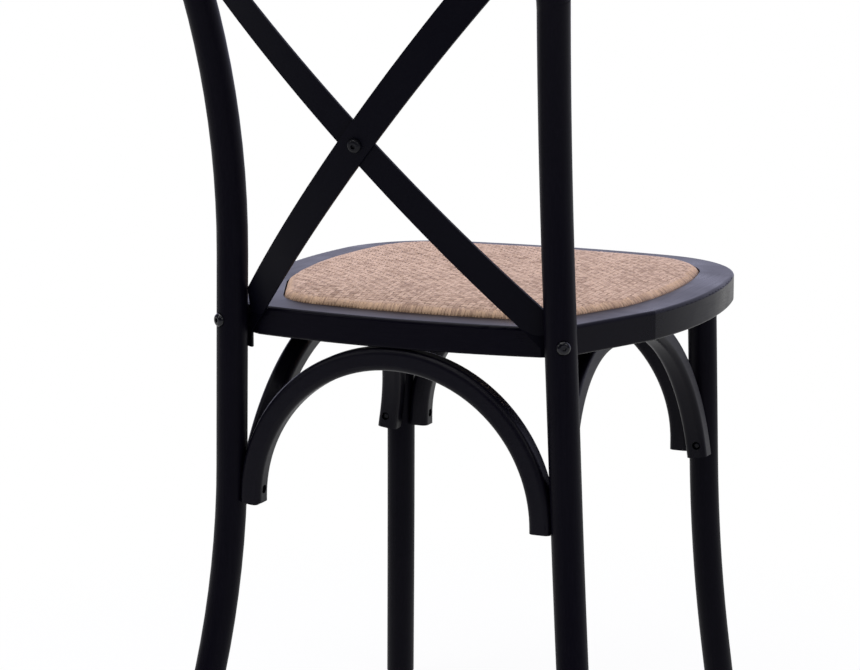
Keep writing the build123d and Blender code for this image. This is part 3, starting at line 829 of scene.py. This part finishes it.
def strip(tree, length, width, height, dip):
    """A flat strip that stores how high each of its points will lie, and its place across."""
    counts = {"Vertices_X": 6, "Vertices_Y": 4}
    grid = put(tree, "GeometryNodeMeshGrid", Size_X=length, Size_Y=width, **counts).outputs[0]
    place = put(tree, "GeometryNodeInputPosition").outputs[0]
    parts = put(tree, "ShaderNodeSeparateXYZ", Vector=place).outputs
    u = math_node(tree, "DIVIDE", parts[0], length)
    v = math_node(tree, "DIVIDE", parts[1], width)
    hump = math_node(tree, "COSINE", math_node(tree, "MULTIPLY", u, math.pi))
    full = math_node(tree, "ADD", height, dip)
    rise = math_node(tree, "SUBTRACT", math_node(tree, "MULTIPLY", hump, full), dip)
    twice = math_node(tree, "MULTIPLY", height, 2.0)
    fall = math_node(tree, "MULTIPLY", math_node(tree, "MULTIPLY", v, v), twice)
    lifted = stored(tree, grid, "peel_lift", math_node(tree, "SUBTRACT", rise, fall))
    return stored(tree, lifted, "peel_across", v)


print("strip helpers: stored, recalled, strip")

# %% [markdown]
# ## Bundles on the points
# The tree sets one strip on each point, turns it the way it runs, and gives it a little skew, a size and a
# tone of its own from a fixed seed. Then every strip is pressed onto the pad: each of its points goes to
# the nearest place on the pad and is lifted by its stored height. So the weave follows the pad and its
# edge.

# %% Weave tree
skew_limit = 0.08  # radians
size_least = (0.9, 0.8, 1.0)
size_most = (1.08, 1.04, 1.0)
tone_most = 0.7
size_seed_step = 7.0  # keeps the sizes and tones apart from the skews
tone_seed_step = 19.0


def random_number(tree, low, high, seed):
    """A random number for each point."""
    floats = {"data_type": "FLOAT"}
    return put(tree, "FunctionNodeRandomValue", floats, Min=low, Max=high, Seed=seed).outputs[1]


def turned(tree):
    """How each strip stands: up along its facing, and lengthways along its run."""
    facing = recalled(tree, "facing", "FLOAT_VECTOR")
    along = recalled(tree, "along", "FLOAT_VECTOR")
    stand = put(tree, "FunctionNodeAlignRotationToVector", {"axis": "Z"}, Vector=facing).outputs[0]
    run = {"axis": "X", "pivot_axis": "Z"}
    return put(tree, "FunctionNodeAlignRotationToVector", run, Rotation=stand, Vector=along).outputs[0]


def pressed(tree, strips, pad_mesh):
    """Lays the strips' points on the pad, each lifted by its stored height."""
    nearest = put(tree, "GeometryNodeProximity", {"target_element": "FACES"}, Geometry=pad_mesh)
    normal = put(tree, "GeometryNodeInputNormal").outputs[0]
    vectors = {"data_type": "FLOAT_VECTOR"}
    out = put(tree, "GeometryNodeSampleNearestSurface", vectors, Mesh=pad_mesh, Value=normal).outputs[0]
    height = recalled(tree, "peel_lift")
    lift = put(tree, "ShaderNodeVectorMath", {"operation": "SCALE"}, in0=out, Scale=height).outputs[0]
    goal = nearest.outputs["Position"]
    return put(tree, "GeometryNodeSetPosition", Geometry=strips, Position=goal, Offset=lift).outputs[0]


def weave_tree():
    """Strips on the points, turned, sized, toned and pressed onto the pad."""
    tree, given, result = new_group(
        "chequer_weave",
        "GeometryNodeTree",
        [
            ("Points", "NodeSocketObject", None),
            ("Pad", "NodeSocketObject", None),
            ("Strip Length", "NodeSocketFloat", 0.009),
            ("Strip Width", "NodeSocketFloat", 0.006),
            ("Strip Height", "NodeSocketFloat", 0.0006),
            ("Strip Dip", "NodeSocketFloat", 0.0005),
            ("Seed", "NodeSocketInt", 4),
            ("Material", "NodeSocketMaterial", None),
        ],
        [("Geometry", "NodeSocketGeometry")],
    )
    shape = {"transform_space": "RELATIVE"}
    spots = put(tree, "GeometryNodeObjectInfo", shape, Object=given["Points"]).outputs["Geometry"]
    pad_mesh = put(tree, "GeometryNodeObjectInfo", shape, Object=given["Pad"]).outputs["Geometry"]
    skew = random_number(tree, -skew_limit, skew_limit, given["Seed"])
    spin = put(tree, "FunctionNodeAxisAngleToRotation", Axis=(0.0, 0.0, 1.0), Angle=skew).outputs[0]
    local = {"rotation_space": "LOCAL"}
    stand = put(tree, "FunctionNodeRotateRotation", local, Rotation=turned(tree), Rotate_By=spin).outputs[0]
    size_seed = math_node(tree, "ADD", given["Seed"], size_seed_step)
    vectors = {"data_type": "FLOAT_VECTOR"}
    limits = {"Min": size_least, "Max": size_most}
    size = put(tree, "FunctionNodeRandomValue", vectors, Seed=size_seed, **limits).outputs[0]
    stretch = recalled(tree, "stretch", "FLOAT_VECTOR")
    size = put(tree, "ShaderNodeVectorMath", {"operation": "MULTIPLY"}, in0=size, in1=stretch).outputs[0]
    measures = [given[f"Strip {name}"] for name in ("Length", "Width", "Height", "Dip")]
    one = strip(tree, *measures)
    placing = {"Points": spots, "Instance": one, "Rotation": stand, "Scale": size}
    strips = put(tree, "GeometryNodeInstanceOnPoints", **placing).outputs[0]
    tone_seed = math_node(tree, "ADD", given["Seed"], tone_seed_step)
    strips = stored(tree, strips, "peel_tone", random_number(tree, 0.0, tone_most, tone_seed), "INSTANCE")
    real = put(tree, "GeometryNodeRealizeInstances", Geometry=strips).outputs[0]
    laid = pressed(tree, real, pad_mesh)
    soft = put(tree, "GeometryNodeSetShadeSmooth", Geometry=laid).outputs[0]
    done = put(tree, "GeometryNodeSetMaterial", Geometry=soft, Material=given["Material"]).outputs[0]
    tree.links.new(done, result[0])
    return tree


chequer_weave = weave_tree()
print("weave tree:", len(chequer_weave.nodes), "nodes")


# %% Grow the weave
def grown(name, tree, **values):
    """Runs a Geometry Nodes tree and keeps what it makes as a plain mesh object at the origin."""
    obj = bpy.data.objects.new(name, bpy.data.meshes.new(name))
    scene.collection.objects.link(obj)
    modifier = obj.modifiers.new(name, "NODES")
    modifier.node_group = tree
    for item in tree.interface.items_tree:
        key = item.name.replace(" ", "_")
        if item.in_out == "INPUT" and key in values:
            modifier[item.identifier] = values[key]
    settle(obj)
    return obj


weave = grown(
    "woven_pad_weave",
    chequer_weave,
    Points=points,
    Pad=pad,
    Strip_Length=strip_length,
    Strip_Width=weave_pitch,
    Material=rattan_top,
)
bpy.data.objects.remove(points)
print("weave:", len(weave.data.vertices), "points,", len(weave.data.polygons), "faces")

# %% [markdown]
# ## The pad on the chair
# The body stands for the CAD cover and foam, which stay hidden for collision, and the weave lies on it.
# Under the weave the body is rattan too, painted darker for the shade between strands. Both pieces ride on
# the chair's only body.

# %% Pad pieces on the chair
pad.data.materials.clear()
pad.data.materials.append(rattan_shade)
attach(pad, "root")
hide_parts("woven_cover", "seat_foam")
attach(weave, "root")
print("on the chair:", pad.name, weave.name)

# %% [markdown]
# ## Floor
# The photo is lit softly from both sides in front of a bright white backdrop. The floor sheet is white,
# takes the chair's shadow, and away from the chair it goes over to plain white, as an overexposed backdrop
# does. Reflections see it white as well, but only up to a line behind the chair, so that the black paint
# stays as dark as in the photo.

# %% Floor
floor_size = 14.0
floor_pale = (0.86, 0.86, 0.86, 1)
plain_white = (1, 1, 1, 1)
shadow_near = 0.5  # metres from the chair's middle: shadow inside, plain white outside
shadow_far = 0.9
shadow_white = 0.92  # share of plain white where the shadow lies
sweep_end = 1.2  # reflections see the white floor up to here, and fade it out over the last part
sweep_fade = 0.8


def seen_by(tree):
    """The kinds of ray, and whether a ray comes from the camera, straight or through glass."""
    ray = put(tree, "ShaderNodeLightPath").outputs
    return ray, math_node(tree, "MAXIMUM", ray["Is Camera Ray"], ray["Is Transmission Ray"])


def floor_finish():
    """White for the camera and for reflections, matte for the light."""
    material = bpy.data.materials.new("white_floor")
    material.use_nodes = True
    tree = material.node_tree
    tree.nodes.clear()
    matte = put(tree, "ShaderNodeBsdfDiffuse", Color=floor_pale).outputs[0]
    glow = put(tree, "ShaderNodeEmission", Color=plain_white, Strength=1.0).outputs[0]
    place = object_places(tree)
    away = put(tree, "ShaderNodeVectorMath", {"operation": "LENGTH"}, in0=place).outputs["Value"]
    white = ranged(tree, away, shadow_near, shadow_far, shadow_white, 1.0)
    ray, seen = seen_by(tree)
    depth = put(tree, "ShaderNodeSeparateXYZ", Vector=place).outputs[1]
    sweep = ranged(tree, depth, sweep_end, sweep_end - sweep_fade)
    seen = math_node(tree, "MAXIMUM", seen, math_node(tree, "MULTIPLY", ray["Is Glossy Ray"], sweep))
    share = math_node(tree, "MULTIPLY", seen, white)
    mixed = put(tree, "ShaderNodeMixShader", in0=share, in1=matte, in2=glow).outputs[0]
    output = tree.nodes.new("ShaderNodeOutputMaterial")
    tree.links.new(mixed, output.inputs[0])
    return material


half = floor_size / 2
floor_mesh = bpy.data.meshes.new("white_floor")
floor_corners = [(-half, -half, 0), (half, -half, 0), (half, half, 0), (-half, half, 0)]
floor_mesh.from_pydata(floor_corners, [], [(0, 1, 2, 3)])
floor_mesh.materials.append(floor_finish())
floor = bpy.data.objects.new("white_floor", floor_mesh)
scene.collection.objects.link(floor)
print("floor:", floor_size, "m wide")

# %% [markdown]
# ## World
# The camera sees a white room. The room's light on the chair is bluish, dim on the camera's side and
# stronger on the far side, in front of the chair, so that black paint seen from behind stays black.
# Reflections see at least a little of the room everywhere.

# %% World
room_blue = (0.76, 0.76, 1.0, 1)
room_dim = 0.05
room_bright = 1.5
dim_from = 0.1  # the light grows between these two values of a way's Y
bright_from = -0.7
gloss_floor = 0.1  # what reflections see of the room at the least

world = bpy.data.worlds.new("white_room")
scene.world = world
world.use_nodes = True
room = world.node_tree
room.nodes.clear()
room_ray, room_seen = seen_by(room)
room_way = put(room, "ShaderNodeTexCoord").outputs["Generated"]
room_y = put(room, "ShaderNodeSeparateXYZ", Vector=room_way).outputs[1]
room_far = ranged(room, room_y, dim_from, bright_from, room_dim, room_bright)
room_gloss = math_node(room, "MULTIPLY", room_ray["Is Glossy Ray"], gloss_floor)
room_strength = math_node(room, "MAXIMUM", room_far, room_gloss)
room_light = put(room, "ShaderNodeBackground", Color=room_blue, Strength=room_strength).outputs[0]
room_white = put(room, "ShaderNodeBackground", Color=plain_white, Strength=1.0).outputs[0]
room_mix = put(room, "ShaderNodeMixShader", in0=room_seen, in1=room_light, in2=room_white).outputs[0]
room_out = room.nodes.new("ShaderNodeOutputWorld")
room.links.new(room_mix, room_out.inputs[0])
print("world:", world.name)

# %% [markdown]
# ## Lamps
# Four softboxes light the chair: one on each side behind it, a wide one above, and a small one high behind
# it for the edge of the seat frame. Large lamps make soft shadows and soft lights on the paint, as in the
# photo.


# %% Lamps
def softbox(name, place, target, width, height, watts):
    """A rectangular area lamp turned to a point."""
    lamp_data = bpy.data.lights.new(name, "AREA")
    lamp_data.shape = "RECTANGLE"
    lamp_data.size = width
    lamp_data.size_y = height
    lamp_data.energy = watts
    lamp = bpy.data.objects.new(name, lamp_data)
    lamp.location = place
    lamp.rotation_euler = (Vector(target) - Vector(place)).to_track_quat("-Z", "Y").to_euler()
    scene.collection.objects.link(lamp)


chair_middle = (0.0, 0.0, 0.5)
softbox("softbox_left", (2.2, 2.0, 2.0), chair_middle, width=1.2, height=1.6, watts=15)
softbox("softbox_right", (-2.6, 1.4, 2.0), chair_middle, width=1.2, height=1.6, watts=14)
softbox("softbox_top", (0.3, 0.2, 2.7), chair_middle, width=2.0, height=2.0, watts=50)
softbox("softbox_rear", (-0.5, 1.9, 2.6), chair_middle, width=1.4, height=0.7, watts=9)
print("lamps:", len(bpy.data.lights))
